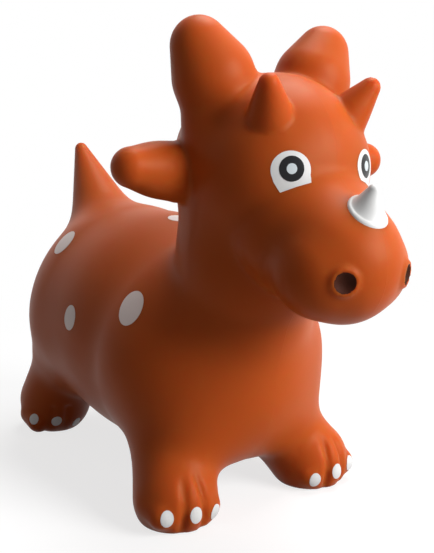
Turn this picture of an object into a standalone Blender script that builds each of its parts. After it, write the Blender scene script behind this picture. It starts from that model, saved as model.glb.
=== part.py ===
"""Ride-on hopper animal: an air-filled moulded skin with horns, ears to hold, and an air valve."""
import math

import bmesh
import bpy
from mathutils import Matrix, Vector

# Reach of the animal: across the ears, muzzle to tail tip, soles to the top of the frill
BODY_WIDTH = 0.325
BODY_LENGTH = 0.589
BODY_HEIGHT = 0.500

# The round forms and the seams are drawn for an animal of this reach, then stretched with the body
DRAWN_WIDTH = 0.325
DRAWN_LENGTH = 0.589
DRAWN_HEIGHT = 0.500

# Skin
SKIN_WALL = 0.0026
SEAM_GAP = 0.0003
PAINT_GAP = 0.0003
PAINT_THICKNESS = 0.0005

# Radii of the round forms that melt together into the animal, start and end of each
TRUNK_FRONT_RADIUS = 0.1285
TRUNK_REAR_RADIUS = 0.1255
TRUNK_SWELL = 0.007
CHEST_UPPER_RADIUS = 0.1035
CHEST_LOWER_RADIUS = 0.0995
SHOULDER_RADIUS = 0.0605
UPPER_ARM_RADIUS = 0.0475
HAUNCH_RADIUS = 0.0765
THIGH_RADIUS = 0.056
NECK_RADIUS = 0.0717
THROAT_RADIUS = 0.0681
CHEEK_UPPER_RADIUS = 0.0864
CHEEK_LOWER_RADIUS = 0.0715
CRANIUM_BACK_RADIUS = 0.0799
CRANIUM_FRONT_RADIUS = 0.0833
FACE_MIDDLE_RADIUS = 0.0702
FACE_SIDE_RADIUS = 0.0683
MUZZLE_ROOT_RADIUS = 0.0701
MUZZLE_END_RADIUS = 0.0484
MUZZLE_SWELL = 0.0018
NOSE_MIDDLE_RADIUS = 0.0570
NOSE_SIDE_RADIUS = 0.0451
FRONT_KNEE_RADIUS = 0.040
FRONT_FOOT_RADIUS = 0.044
REAR_KNEE_RADIUS = 0.041
REAR_FOOT_RADIUS = 0.0465
TOE_ROOT_RADIUS = 0.0155
TOE_END_RADIUS = 0.0148
LOBE_ROOT_RADIUS = 0.0409
LOBE_TOP_RADIUS = 0.0285
TEMPLE_ROOT_RADIUS = 0.0380
TEMPLE_TOP_RADIUS = 0.0381
EAR_ROOT_RADIUS = 0.030
EAR_END_RADIUS = 0.019
EAR_SWELL = 0.002
BROW_HORN_ROOT_RADIUS = 0.0265
BROW_HORN_TIP_RADIUS = 0.0096
BROW_HORN_SWELL = 0.0004
NOSE_HORN_ROOT_RADIUS = 0.0247
NOSE_HORN_TIP_RADIUS = 0.0054
NOSE_HORN_SWELL = 0.0018
TAIL_ROOT_RADIUS = 0.0475
TAIL_TIP_RADIUS = 0.0085

# How far from each other two forms begin to melt together
BROAD_BLEND = 0.050
NECK_BLEND = 0.040
LIMB_BLEND = 0.030
FACE_BLEND = 0.020
LOBE_BLEND = 0.016
MUZZLE_BLEND = 0.018
HORN_BLEND = 0.0035
TOE_BLEND = 0.006
NOSE_HORN_BLEND = 0.006
SOLE_BLEND = 0.006
BELLY_BLEND = 0.020

# Clearance of the flat-bottomed belly above the ground
BELLY_CLEARANCE = 0.034

# Length of a toe, from its root in the foot to its end, and the drop over that length
TOE_LENGTH = 0.020
TOE_DROP = 0.005

# Nostril: a low swelling around a round hollow
NOSTRIL_RIM_RADIUS = 0.015
NOSTRIL_RIM_SINK = 0.0100
NOSTRIL_HOLLOW_RADIUS = 0.0098
NOSTRIL_HOLLOW_RISE = 0.0040
NOSTRIL_RIM_BLEND = 0.004
NOSTRIL_HOLLOW_BLEND = 0.002
NOSTRIL_PAINT_RADIUS = 0.0074
# A ball is a form whose two places lie this close together
BALL_LENGTH = 0.0003

# Eyes: white patch around a dark iris around a pale highlight
EYE_WHITE_RADIUS = 0.0185
IRIS_RADIUS = 0.0113
HIGHLIGHT_RADIUS = 0.0047

# Toe nails and spots are ellipses, half of their breadth and half of their height
NAIL_HALF_BREADTH = 0.0066
NAIL_HALF_HEIGHT = 0.0086
SHOULDER_SPOT_HALF_BREADTH = 0.0155
SHOULDER_SPOT_HALF_HEIGHT = 0.0195
FLANK_SPOT_HALF_BREADTH = 0.0115
FLANK_SPOT_HALF_HEIGHT = 0.0142
RUMP_SPOT_HALF_BREADTH = 0.0150
RUMP_SPOT_HALF_HEIGHT = 0.0175
BACK_SPOT_HALF_BREADTH = 0.0130
BACK_SPOT_HALF_HEIGHT = 0.0115

# Reach of a paint area's outline above and below the skin while it is cut
PAINT_REACH = 0.012
EYE_REACH = 0.020

# Radii of the round plates that part the skin at its mould zones
HEAD_SEAM_RADIUS = 0.104
LOBE_SEAM_RADIUS = 0.0545
BROW_HORN_SEAM_RADIUS = 0.0325
NOSE_HORN_SEAM_RADIUS = 0.0285
EAR_SEAM_RADIUS = 0.040
TAIL_SEAM_RADIUS = 0.056
FRONT_LEG_SEAM_RADIUS = 0.072
REAR_LEG_SEAM_RADIUS = 0.062

# Valve: a flanged seat clipped in a hole of the belly, and a stopper pressed into its bore
VALVE_BORE = 0.0090
VALVE_NECK_DIAMETER = 0.0200
VALVE_LIP_DIAMETER = 0.0270
VALVE_LIP_THICKNESS = 0.0040
VALVE_INNER_FLANGE_DIAMETER = 0.0270
VALVE_INNER_FLANGE_THICKNESS = 0.0020
VALVE_TUBE_DIAMETER = 0.0130
VALVE_TUBE_LENGTH = 0.0100
VALVE_RECESS_DIAMETER = 0.0186
VALVE_RECESS_DEPTH = 0.0026
STOPPER_HEAD_DIAMETER = 0.0178
STOPPER_HEAD_THICKNESS = 0.0022
STOPPER_STEM_DIAMETER = 0.0084
STOPPER_STEM_LENGTH = 0.0200
STOPPER_TIP_DIAMETER = 0.0060
STOPPER_TIP_LENGTH = 0.0040
STOPPER_RIDGE_HEIGHT = 0.0006
STOPPER_RIDGE_PITCH = 0.0040
STOPPER_RIDGES = 3
FIT_GAP = 0.0003

# Fineness of the surfaces
FIELD_STEP = 0.004
FIELD_MARGIN = 0.0157
SKIN_TRIANGLES = 4800
INNER_TRIANGLES = 2400
TURN_STEPS = 24
PAINT_STEPS = 20
PROBE_STEPS = 12
SHARP_ANGLE = math.radians(38.0)
MERGE_DISTANCE = 0.00002
SOLE_TOLERANCE = 0.0008
# Makes the swell of a form exactly its named value at the form's middle
HUMP_SCALE = 16.0
# Keeps the lean of a very steep form finite
SLOPE_FLOOR = 0.01

# Places as shares of the body's width, length and height: across to the left, back from the
# middle, up from the ground. Each form runs from its first place to its second one.
FORM_SHARES = {
    "trunk": ((0.0, -0.016, 0.303), (0.0, 0.244, 0.354)),
    "chest": ((0.0, -0.066, 0.300), (0.0, -0.070, 0.264)),
    "shoulder": ((0.180, -0.078, 0.300), (0.181, -0.120, 0.164)),
    "haunch": ((0.158, 0.248, 0.312), (0.190, 0.295, 0.243)),
    "neck": ((0.0, -0.159, 0.440), (0.0, -0.226, 0.611)),
    "cheeks": ((0.0, -0.212, 0.701), (0.0, -0.174, 0.549)),
    "cranium": ((0.0, -0.195, 0.739), (0.0, -0.241, 0.732)),
    "face": ((0.0, -0.267, 0.731), (0.052, -0.268, 0.715)),
    "muzzle": ((0.0, -0.310, 0.616), (0.0, -0.410, 0.548)),
    "nose": ((0.0, -0.402, 0.562), (0.069, -0.404, 0.547)),
    "tail": ((0.0, 0.361, 0.523), (0.0, 0.484, 0.738)),
    "front_leg": ((0.222, -0.099, 0.125), (0.278, -0.166, 0.048)),
    "rear_leg": ((0.221, 0.333, 0.198), (0.237, 0.382, 0.079)),
    "lobe": ((0.187, -0.212, 0.888), (0.232, -0.209, 0.943)),
    "temple": ((0.160, -0.217, 0.750), (0.169, -0.217, 0.805)),
    "ear": ((0.260, -0.170, 0.712), (0.448, -0.197, 0.725)),
    "brow_horn": ((0.120, -0.310, 0.788), (0.187, -0.353, 0.870)),
    "nose_horn": ((0.0, -0.439, 0.610), (0.0, -0.469, 0.690)),
}
TOE_SHARES = {
    "front_outer": (0.362, -0.203, 0.040),
    "front_middle": (0.289, -0.217, 0.037),
    "front_inner": (0.214, -0.208, 0.037),
    "rear_outer": (0.360, 0.358, 0.040),
    "rear_middle": (0.289, 0.347, 0.037),
    "rear_inner": (0.214, 0.353, 0.037),
}
# Lobes are a little thinner from front to back than they are wide
LOBE_THIN_SHARE = 1.12

# Painted areas: place as shares, then the way the area faces and the way its height runs
NOSTRIL_SHARES = (0.113, -0.479, 0.540)
NOSTRIL_FACING_SHARES = (0.49, -0.86, -0.11)
EYE_SHARES = (0.140, -0.377, 0.723)
EYE_FACING_SHARES = (0.46, -0.88, 0.10)
UPWARD_SHARES = (0.0, 0.0, 1.0)
NAIL_SHARES = {
    "front_outer": ((0.376, -0.228, 0.043), (0.30, -0.94, 0.12)),
    "front_middle": ((0.289, -0.242, 0.043), (0.03, -0.99, 0.06)),
    "front_inner": ((0.205, -0.234, 0.030), (-0.25, -0.95, -0.18)),
    "rear_outer": ((0.376, 0.334, 0.043), (0.30, -0.94, 0.12)),
    "rear_middle": ((0.289, 0.320, 0.043), (0.03, -0.99, 0.06)),
    "rear_inner": ((0.205, 0.328, 0.030), (-0.25, -0.95, -0.18)),
}
SPOT_SHARES = {
    "shoulder": ((0.337, -0.076, 0.431), (0.81, -0.19, 0.55), (-0.50, 0.27, 0.82)),
    "flank": ((0.403, 0.095, 0.378), (0.98, -0.05, 0.19), (-0.19, 0.02, 0.98)),
    "rump": ((0.287, 0.250, 0.522), (0.73, 0.03, 0.68), (-0.68, 0.0, 0.73)),
}
BACK_SPOT_SHARES = ((0.0, 0.058, 0.590), (0.0, -0.12, 0.99), (0.0, 0.99, 0.12))

# Outline of the eye's white patch as shares of its radius, from the nose side over the round
# top to the pointed lower corner, whose far edge bends slightly inwards
EYE_ARC_CENTRE_SHARES = (-0.03, -0.05)
EYE_ARC_START = math.radians(-14.0)
EYE_ARC_END = math.radians(196.0)
EYE_ARC_STEPS = 14
EYE_ARC_BREADTH_SHARE = 0.98
EYE_ARC_HEIGHT_SHARE = 0.90
EYE_CORNER_SHARES = ((-0.86, -0.62), (-0.55, -1.12), (0.18, -0.82), (0.94, -0.66))

# Seam plates: centre as shares of the body, then the way the plate faces
SEAM_SHARES = {
    "head": ((0.0, -0.172, 0.492), (0.0, -0.49, 0.87)),
    "lobe": ((0.162, -0.214, 0.858), (0.51, 0.05, 0.86)),
    "brow_horn": ((0.147, -0.328, 0.823), (0.52, -0.58, 0.63)),
    "nose_horn": ((0.0, -0.455, 0.656), (0.0, -0.62, 0.79)),
    "ear": ((0.296, -0.175, 0.714), (0.99, -0.10, 0.02)),
    "tail": ((0.0, 0.399, 0.581), (0.0, 0.690, 0.725)),
    "front_leg": ((0.237, -0.127, 0.126), (0.63, -0.41, -0.66)),
    "rear_leg": ((0.220, 0.349, 0.161), (0.30, 0.55, -0.78)),
}
# Where the valve sits on the middle line of the belly
VALVE_PLACE_SHARE = 0.087

SIDES = {"left": 1.0, "right": -1.0}

# Finishes: colour, roughness
ORANGE_SKIN = ((0.56, 0.125, 0.030, 1.0), 0.42)
WHITE_PAINT = ((0.78, 0.77, 0.74, 1.0), 0.38)
DARK_PAINT = ((0.018, 0.020, 0.024, 1.0), 0.25)
NOSTRIL_PAINT = ((0.030, 0.010, 0.006, 1.0), 0.45)
VALVE_RUBBER = ((0.62, 0.60, 0.56, 1.0), 0.50)


def body_place(shares, side=1.0):
    """Turn shares of the body into a place in metres."""
    return Vector((shares[0] * BODY_WIDTH * side, shares[1] * BODY_LENGTH, shares[2] * BODY_HEIGHT))


def drawn_place(shares, side=1.0):
    """Turn shares of the body into a place in the animal as it is drawn, before any stretch."""
    return Vector((shares[0] * DRAWN_WIDTH * side, shares[1] * DRAWN_LENGTH, shares[2] * DRAWN_HEIGHT))


def stretch():
    """How much longer the body is than it is drawn, along each axis."""
    return Vector((BODY_WIDTH / DRAWN_WIDTH, BODY_LENGTH / DRAWN_LENGTH, BODY_HEIGHT / DRAWN_HEIGHT))


def facing(shares, side=1.0):
    """Turn the shares of a direction into a unit direction on one side of the body."""
    return Vector((shares[0] * side, shares[1], shares[2])).normalized()


def clear_scene():
    for thing in list(bpy.data.objects):
        bpy.data.objects.remove(thing, do_unlink=True)


def new_collection(name):
    collection = bpy.data.collections.new(name)
    bpy.context.scene.collection.children.link(collection)
    return collection


def finish(name, look):
    """Return the finish of that name, made when it is first asked for."""
    material = bpy.data.materials.get(name)
    if material is None:
        colour, roughness = look
        material = bpy.data.materials.new(name)
        material.use_nodes = True
        shader = material.node_tree.nodes["Principled BSDF"]
        shader.inputs["Base Color"].default_value = colour
        shader.inputs["Roughness"].default_value = roughness
        shader.inputs["Metallic"].default_value = 0.0
        material.diffuse_color = colour
    return material


def mesh_object(name, mesh, collection):
    thing = bpy.data.objects.new(name, mesh)
    collection.objects.link(thing)
    return thing


def baked(thing):
    """Return the object's shape, with its modifiers done, as a plain mesh."""
    bpy.context.view_layer.update()
    graph = bpy.context.evaluated_depsgraph_get()
    return bpy.data.meshes.new_from_object(thing.evaluated_get(graph))


def remove(*things):
    for thing in things:
        bpy.data.objects.remove(thing, do_unlink=True)


class Sums:
    """Math nodes written as calls inside one node tree."""

    def __init__(self, tree):
        self.tree = tree

    def node(self, kind, *values):
        made = self.tree.nodes.new(kind)
        for socket, value in zip(made.inputs, values):
            if isinstance(value, bpy.types.NodeSocket):
                self.tree.links.new(value, socket)
            else:
                socket.default_value = value
        return made

    def math(self, operation, *values):
        made = self.node("ShaderNodeMath", *values)
        made.operation = operation
        return made.outputs[0]

    def vector(self, operation, *values):
        made = self.node("ShaderNodeVectorMath", *values)
        made.operation = operation
        return made.outputs["Value"] if operation in {"DOT_PRODUCT", "LENGTH"} else made.outputs[0]

    def scaled(self, direction, amount):
        made = self.tree.nodes.new("ShaderNodeVectorMath")
        made.operation = "SCALE"
        self.tree.links.new(direction, made.inputs[0])
        if isinstance(amount, bpy.types.NodeSocket):
            self.tree.links.new(amount, made.inputs["Scale"])
        else:
            made.inputs["Scale"].default_value = amount
        return made.outputs[0]


def form_distance_group():
    """Node group: distance from a place to a round-ended form between two places."""
    tree = bpy.data.node_groups.new("form distance", "GeometryNodeTree")
    labels = (
        ("Place", "NodeSocketVector"),
        ("Start", "NodeSocketVector"),
        ("Axis", "NodeSocketVector"),
        ("Thin Direction", "NodeSocketVector"),
        ("Thinning", "NodeSocketFloat"),
        ("Length", "NodeSocketFloat"),
        ("Lean", "NodeSocketFloat"),
        ("Start Radius", "NodeSocketFloat"),
        ("Radius Change", "NodeSocketFloat"),
        ("Swell", "NodeSocketFloat"),
    )
    for label, kind in labels:
        tree.interface.new_socket(label, in_out="INPUT", socket_type=kind)
    tree.interface.new_socket("Distance", in_out="OUTPUT", socket_type="NodeSocketFloat")
    given = tree.nodes.new("NodeGroupInput").outputs
    sums = Sums(tree)
    reach = sums.vector("SUBTRACT", given["Place"], given["Start"])
    along = sums.vector("DOT_PRODUCT", reach, given["Axis"])
    across = sums.vector("SUBTRACT", reach, sums.scaled(given["Axis"], along))
    depth = sums.vector("DOT_PRODUCT", across, given["Thin Direction"])
    stretch = sums.math("MULTIPLY", depth, given["Thinning"])
    across = sums.vector("ADD", across, sums.scaled(given["Thin Direction"], stretch))
    off_axis = sums.vector("LENGTH", across)
    nearest = sums.math("MULTIPLY_ADD", off_axis, given["Lean"], along)
    nearest = sums.math("MINIMUM", sums.math("MAXIMUM", nearest, 0.0), given["Length"])
    portion = sums.math("DIVIDE", nearest, given["Length"])
    radius = sums.math("MULTIPLY_ADD", portion, given["Radius Change"], given["Start Radius"])
    hump = sums.math("MULTIPLY", portion, sums.math("SUBTRACT", 1.0, portion))
    hump = sums.math("MULTIPLY", hump, hump)
    hump = sums.math("MULTIPLY", hump, HUMP_SCALE)
    radius = sums.math("MULTIPLY_ADD", hump, given["Swell"], radius)
    past = sums.math("SUBTRACT", along, nearest)
    flat = sums.node("ShaderNodeCombineXYZ", past, off_axis, 0.0).outputs[0]
    distance = sums.math("SUBTRACT", sums.vector("LENGTH", flat), radius)
    result = tree.nodes.new("NodeGroupOutput")
    tree.links.new(distance, result.inputs[0])
    return tree


def form_distance(sums, group, place, start, end, radii, swell=0.0, thin_share=1.0):
    """Place one form in the tree and return its distance."""
    axis = end - start
    length = axis.length
    slope = (radii[1] - radii[0]) / length
    made = sums.tree.nodes.new("GeometryNodeGroup")
    made.node_tree = group
    sums.tree.links.new(place, made.inputs["Place"])
    made.inputs["Start"].default_value = start
    made.inputs["Axis"].default_value = axis / length
    made.inputs["Thin Direction"].default_value = (0.0, 1.0, 0.0)
    made.inputs["Thinning"].default_value = thin_share - 1.0
    made.inputs["Length"].default_value = length
    made.inputs["Lean"].default_value = slope / math.sqrt(max(1.0 - slope * slope, SLOPE_FLOOR))
    made.inputs["Start Radius"].default_value = radii[0]
    made.inputs["Radius Change"].default_value = radii[1] - radii[0]
    made.inputs["Swell"].default_value = swell
    return made.outputs[0]


def torso_forms():
    """Forms above the legs, in the order in which they are joined: name, radii, swell, blend."""
    return (
        ("trunk", (TRUNK_FRONT_RADIUS, TRUNK_REAR_RADIUS), TRUNK_SWELL, LIMB_BLEND),
        ("chest", (CHEST_UPPER_RADIUS, CHEST_LOWER_RADIUS), 0.0, BROAD_BLEND),
        ("shoulder", (SHOULDER_RADIUS, UPPER_ARM_RADIUS), 0.0, BROAD_BLEND),
        ("haunch", (HAUNCH_RADIUS, THIGH_RADIUS), 0.0, BROAD_BLEND),
    )


def outer_forms():
    """Forms joined after the belly is flattened."""
    return (
        ("neck", (NECK_RADIUS, THROAT_RADIUS), 0.0, NECK_BLEND),
        ("cheeks", (CHEEK_UPPER_RADIUS, CHEEK_LOWER_RADIUS), 0.0, LIMB_BLEND),
        ("cranium", (CRANIUM_BACK_RADIUS, CRANIUM_FRONT_RADIUS), 0.0, LIMB_BLEND),
        ("face", (FACE_MIDDLE_RADIUS, FACE_SIDE_RADIUS), 0.0, FACE_BLEND),
        ("muzzle", (MUZZLE_ROOT_RADIUS, MUZZLE_END_RADIUS), MUZZLE_SWELL, MUZZLE_BLEND),
        ("nose", (NOSE_MIDDLE_RADIUS, NOSE_SIDE_RADIUS), 0.0, MUZZLE_BLEND),
        ("tail", (TAIL_ROOT_RADIUS, TAIL_TIP_RADIUS), 0.0, BROAD_BLEND),
        ("front_leg", (FRONT_KNEE_RADIUS, FRONT_FOOT_RADIUS), 0.0, LIMB_BLEND),
        ("rear_leg", (REAR_KNEE_RADIUS, REAR_FOOT_RADIUS), 0.0, LIMB_BLEND),
        ("lobe", (LOBE_ROOT_RADIUS, LOBE_TOP_RADIUS), 0.0, LOBE_BLEND),
        ("temple", (TEMPLE_ROOT_RADIUS, TEMPLE_TOP_RADIUS), 0.0, FACE_BLEND),
        ("ear", (EAR_ROOT_RADIUS, EAR_END_RADIUS), EAR_SWELL, TOE_BLEND),
        ("brow_horn", (BROW_HORN_ROOT_RADIUS, BROW_HORN_TIP_RADIUS), BROW_HORN_SWELL, HORN_BLEND),
        ("nose_horn", (NOSE_HORN_ROOT_RADIUS, NOSE_HORN_TIP_RADIUS), NOSE_HORN_SWELL, NOSE_HORN_BLEND),
    )


def animal_distance(sums, with_toes):
    """Join every form into one distance field that is negative inside the animal."""
    group = form_distance_group()
    thin_shares = {"lobe": LOBE_THIN_SHARE, "temple": LOBE_THIN_SHARE}
    place = sums.tree.nodes.new("GeometryNodeInputPosition").outputs[0]
    place = sums.vector("DIVIDE", place, stretch())
    split = sums.node("ShaderNodeSeparateXYZ", place).outputs
    mirrored_x = sums.math("ABSOLUTE", split[0])
    folded = sums.node("ShaderNodeCombineXYZ", mirrored_x, split[1], split[2]).outputs[0]

    def joined(distance, name, radii, swell, blend):
        start, end = (drawn_place(shares) for shares in FORM_SHARES[name])
        thin_share = thin_shares.get(name, 1.0)
        part = form_distance(sums, group, folded, start, end, radii, swell, thin_share)
        return part if distance is None else sums.math("SMOOTH_MIN", distance, part, blend)

    distance = None
    for form in torso_forms():
        distance = joined(distance, *form)
    above_belly = sums.math("SUBTRACT", BELLY_CLEARANCE, split[2])
    distance = sums.math("SMOOTH_MAX", distance, above_belly, BELLY_BLEND)
    for form in outer_forms():
        distance = joined(distance, *form)
    toe_root = Vector((0.0, TOE_LENGTH, TOE_DROP))
    for shares in TOE_SHARES.values() if with_toes else ():
        end = drawn_place(shares)
        radii = (TOE_ROOT_RADIUS, TOE_END_RADIUS)
        part = form_distance(sums, group, folded, end + toe_root, end, radii)
        distance = sums.math("SMOOTH_MIN", distance, part, TOE_BLEND)
    outward = facing(NOSTRIL_FACING_SHARES)
    nostril = drawn_place(NOSTRIL_SHARES)
    rim_from = nostril - outward * (NOSTRIL_RIM_SINK + BALL_LENGTH)
    rim_to = nostril - outward * NOSTRIL_RIM_SINK
    rim = form_distance(sums, group, folded, rim_from, rim_to, (NOSTRIL_RIM_RADIUS,) * 2)
    distance = sums.math("SMOOTH_MIN", distance, rim, NOSTRIL_RIM_BLEND)
    hollow_from = nostril + outward * NOSTRIL_HOLLOW_RISE
    hollow_to = nostril + outward * (NOSTRIL_HOLLOW_RISE + BALL_LENGTH)
    hollow = form_distance(sums, group, folded, hollow_from, hollow_to, (NOSTRIL_HOLLOW_RADIUS,) * 2)
    outside_hollow = sums.math("MULTIPLY", hollow, -1.0)
    distance = sums.math("SMOOTH_MAX", distance, outside_hollow, NOSTRIL_HOLLOW_BLEND)
    below_ground = sums.math("MULTIPLY", split[2], -1.0)
    return sums.math("SMOOTH_MAX", distance, below_ground, SOLE_BLEND)


def field_mesh(name, depth, collection, with_toes=True):
    """Return the mesh at that depth under the animal's surface."""
    tree = bpy.data.node_groups.new(name, "GeometryNodeTree")
    tree.interface.new_socket("Geometry", in_out="OUTPUT", socket_type="NodeSocketGeometry")
    sums = Sums(tree)
    density = sums.math("MULTIPLY", animal_distance(sums, with_toes), -1.0)
    low = Vector((-BODY_WIDTH / 2, -BODY_LENGTH / 2, 0.0)) - Vector((FIELD_MARGIN,) * 3)
    high = Vector((BODY_WIDTH / 2, BODY_LENGTH / 2, BODY_HEIGHT)) + Vector((FIELD_MARGIN,) * 3)
    grid = tree.nodes.new("GeometryNodeVolumeCube")
    tree.links.new(density, grid.inputs["Density"])
    grid.inputs["Background"].default_value = -FIELD_MARGIN
    grid.inputs["Min"].default_value = low
    grid.inputs["Max"].default_value = high
    for axis, label in enumerate(("Resolution X", "Resolution Y", "Resolution Z")):
        grid.inputs[label].default_value = math.ceil((high[axis] - low[axis]) / FIELD_STEP)
    skin = tree.nodes.new("GeometryNodeVolumeToMesh")
    skin.resolution_mode = "GRID"
    tree.links.new(grid.outputs[0], skin.inputs["Volume"])
    skin.inputs["Threshold"].default_value = depth
    result = tree.nodes.new("NodeGroupOutput")
    tree.links.new(skin.outputs[0], result.inputs[0])
    holder = mesh_object(name, bpy.data.meshes.new(name), collection)
    modifier = holder.modifiers.new("field", "NODES")
    modifier.node_group = tree
    mesh = baked(holder)
    remove(holder)
    bpy.data.node_groups.remove(tree)
    return mesh


def thinned(mesh, triangles, name, collection, mirrored):
    """Return a copy of the mesh with about that many triangles."""
    thing = mesh_object(name, mesh, collection)
    modifier = thing.modifiers.new("thin out", "DECIMATE")
    modifier.ratio = triangles / (2.0 * len(mesh.polygons))
    modifier.use_symmetry = mirrored
    modifier.symmetry_axis = "X"
    modifier.use_collapse_triangulate = True
    result = baked(thing)
    remove(thing)
    return result


def on_ground(mesh):
    """Bring the soles exactly onto the ground plane."""
    for vertex in mesh.vertices:
        if vertex.co.z < SOLE_TOLERANCE:
            vertex.co.z = 0.0
    mesh.update()


def disc(name, centre, direction, radius, thickness, collection, steps=TURN_STEPS):
    """Make a round plate or rod whose middle is at the centre."""
    bpy.ops.mesh.primitive_cylinder_add(vertices=steps, radius=radius, depth=thickness)
    thing = bpy.context.object
    thing.name = name
    turn = direction.to_track_quat("Z", "Y").to_matrix().to_4x4()
    thing.data.transform(Matrix.Translation(centre) @ turn)
    for other in list(thing.users_collection):
        other.objects.unlink(thing)
    collection.objects.link(thing)
    return thing


def tidied(mesh):
    """Merge points that a cut left on top of each other, and face every face outwards."""
    shape = bmesh.new()
    shape.from_mesh(mesh)
    bmesh.ops.remove_doubles(shape, verts=shape.verts, dist=MERGE_DISTANCE)
    bmesh.ops.dissolve_degenerate(shape, dist=MERGE_DISTANCE, edges=shape.edges)
    bmesh.ops.recalc_face_normals(shape, faces=shape.faces)
    shape.to_mesh(mesh)
    shape.free()


def joined_object(name, things, collection):
    """Join separate solids into one object."""
    shape = bmesh.new()
    for thing in things:
        shape.from_mesh(thing.data)
    mesh = bpy.data.meshes.new(name)
    shape.to_mesh(mesh)
    shape.free()
    remove(*things)
    return mesh_object(name, mesh, collection)


def boolean(mesh, cutter, operation, name, collection):
    """Return the mesh cut by, or kept inside, the cutter."""
    thing = mesh_object(name, mesh, collection)
    modifier = thing.modifiers.new("cut", "BOOLEAN")
    modifier.operation = operation
    modifier.solver = "EXACT"
    modifier.object = cutter
    result = baked(thing)
    remove(thing)
    return result


def loose_pieces(mesh):
    """Split a mesh into its separate solids."""
    shape = bmesh.new()
    shape.from_mesh(mesh)
    shape.verts.ensure_lookup_table()
    seen = set()
    pieces = []
    for first in shape.verts:
        if first.index in seen:
            continue
        members = {first.index}
        front = [first]
        while front:
            for edge in front.pop().link_edges:
                for vertex in edge.verts:
                    if vertex.index not in members:
                        members.add(vertex.index)
                        front.append(vertex)
        seen |= members
        pieces.append(members)
    meshes = []
    for members in pieces:
        piece = shape.copy()
        piece.verts.ensure_lookup_table()
        others = [vertex for vertex in piece.verts if vertex.index not in members]
        bmesh.ops.delete(piece, geom=others, context="VERTS")
        solid = bpy.data.meshes.new("piece")
        piece.to_mesh(solid)
        piece.free()
        meshes.append(solid)
    shape.free()
    return meshes


def mesh_middle(mesh):
    low = Vector(min(vertex.co[axis] for vertex in mesh.vertices) for axis in range(3))
    high = Vector(max(vertex.co[axis] for vertex in mesh.vertices) for axis in range(3))
    return (low + high) / 2


def publish(name, mesh, look_name, look, collection, origin=None):
    """Give a finished solid its name, finish, smooth shading and origin."""
    origin = mesh_middle(mesh) if origin is None else origin
    tidied(mesh)
    mesh.transform(Matrix.Translation(-origin))
    mesh.name = name
    mesh.materials.clear()
    mesh.materials.append(finish(look_name, look))
    mesh.polygons.foreach_set("material_index", [0] * len(mesh.polygons))
    mesh.polygons.foreach_set("use_smooth", [True] * len(mesh.polygons))
    mesh.set_sharp_from_angle(angle=SHARP_ANGLE)
    mesh.update()
    thing = mesh_object(name, mesh, collection)
    thing.location = origin
    return thing


def seam_plates(collection):
    """Thin round plates at every mould zone, joined into one cutter."""
    radii = {
        "head": HEAD_SEAM_RADIUS,
        "lobe": LOBE_SEAM_RADIUS,
        "brow_horn": BROW_HORN_SEAM_RADIUS,
        "nose_horn": NOSE_HORN_SEAM_RADIUS,
        "ear": EAR_SEAM_RADIUS,
        "tail": TAIL_SEAM_RADIUS,
        "front_leg": FRONT_LEG_SEAM_RADIUS,
        "rear_leg": REAR_LEG_SEAM_RADIUS,
    }
    plates = []
    for name, (place, direction) in SEAM_SHARES.items():
        for side in SIDES.values() if place[0] else (1.0,):
            centre = drawn_place(place, side)
            plate = disc(name, centre, facing(direction, side), radii[name], SEAM_GAP, collection)
            plate.data.transform(Matrix.Diagonal(stretch().to_4d()))
            plates.append(plate)
    return plates


def zone_places():
    """A place inside each zone of the skin, with the zone's name."""
    places = {
        "trunk": body_place(FORM_SHARES["trunk"][1]),
        "head": body_place(FORM_SHARES["cranium"][1]),
        "nose_horn": body_place(FORM_SHARES["nose_horn"][1]),
        "tail": body_place(FORM_SHARES["tail"][1]),
    }
    paired = {"frill_lobe": "lobe", "brow_horn": "brow_horn", "ear": "ear"}
    paired.update({"front_leg": "front_leg", "rear_leg": "rear_leg"})
    for zone, form in paired.items():
        for label, side in SIDES.items():
            places[f"{zone}_{label}"] = body_place(FORM_SHARES[form][1], side)
    return places


def nearest_name(mesh, places):
    """Name of the place that lies nearest to the middle of the mesh."""
    middle = mesh_middle(mesh)
    return min(places, key=lambda name: (places[name] - middle).length)


def build_skin(outer, inner, valve, valve_depth, parts, guides):
    """Hollow the skin, cut the valve hole, part it at its seams and name the zones."""
    core = mesh_object("hollow_core", inner, guides)
    shell = boolean(outer.copy(), core, "DIFFERENCE", "skin_shell", guides)
    hole_radius = VALVE_NECK_DIAMETER / 2 + FIT_GAP
    hole_length = 2 * (valve_depth + VALVE_LIP_THICKNESS)
    hole = disc("valve_hole", valve, Vector((0.0, 0.0, 1.0)), hole_radius, hole_length, guides)
    cutter = joined_object("seam_cutter", seam_plates(guides) + [hole], guides)
    zones = boolean(shell, cutter, "DIFFERENCE", "skin_zones", guides)
    remove(core, cutter)
    places = zone_places()
    for mesh in loose_pieces(zones):
        name = nearest_name(mesh, places)
        del places[name]
        if name == "nose_horn":
            publish(name, mesh, "white paint", WHITE_PAINT, parts)
        else:
            publish(name, mesh, "orange skin", ORANGE_SKIN, parts)


def outline_prism(name, outlines, place, direction, upward, reach, collection):
    """Make a solid from flat outlines that faces one way at a place."""
    curve = bpy.data.curves.new(name, "CURVE")
    curve.dimensions = "2D"
    curve.fill_mode = "BOTH"
    curve.extrude = reach
    for outline in outlines:
        spline = curve.splines.new("POLY")
        spline.points.add(len(outline) - 1)
        for point, (across, up) in zip(spline.points, outline):
            point.co = (across, up, 0.0, 1.0)
        spline.use_cyclic_u = True
    holder = mesh_object(name, curve, collection)
    mesh = baked(holder)
    remove(holder)
    across = upward.cross(direction).normalized()
    turn = Matrix((across, direction.cross(across), direction)).transposed().to_4x4()
    mesh.transform(Matrix.Translation(place) @ turn)
    tidied(mesh)
    return mesh_object(name, mesh, collection)


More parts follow.
